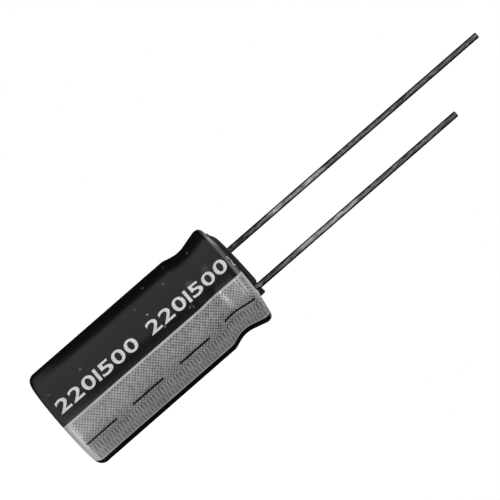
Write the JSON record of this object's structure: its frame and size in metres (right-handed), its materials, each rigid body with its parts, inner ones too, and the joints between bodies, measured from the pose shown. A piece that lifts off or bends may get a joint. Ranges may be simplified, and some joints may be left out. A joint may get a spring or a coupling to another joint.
{
  "type": "radial electrolytic capacitor",
  "caption": "Radial aluminium electrolytic capacitor: sleeved can with a rolled bead, a polarity stripe, a rubber seal and straight tinned leads of unequal length.",
  "frame": {"origin": "on the axis of the can, at the plane of the closed end that it stands on", "axes": "+Z along the axis of the can towards the leads; +X from the axis towards the short negative lead"},
  "size_m": [0.0106, 0.0106, 0.0518],
  "materials": {
    "can_aluminium": "drawn, satin",
    "sleeve_film": "shrunk film, satin gloss",
    "stripe_ink": "printed ink, fine screen",
    "seal_rubber": "moulded, matt",
    "tinned_wire": "dull tinned",
    "tab_aluminium": "plain",
    "etched_foil": "etched, matt",
    "plain_foil": "satin",
    "separator_paper": "soaked kraft",
    "tape_film": "plain"
  },
  "bodies": {
    "root": {"can": "can_aluminium", "sleeve": "sleeve_film", "polarity_stripe": "stripe_ink", "rubber_seal": "seal_rubber", "positive_lead": "tinned_wire", "negative_lead": "tinned_wire", "positive_tab": "tab_aluminium", "negative_tab": "tab_aluminium", "anode_foil": "etched_foil", "cathode_foil": "plain_foil", "inner_paper": "separator_paper", "outer_paper": "separator_paper", "winding_tape": "tape_film"}
  },
  "joints": []
}
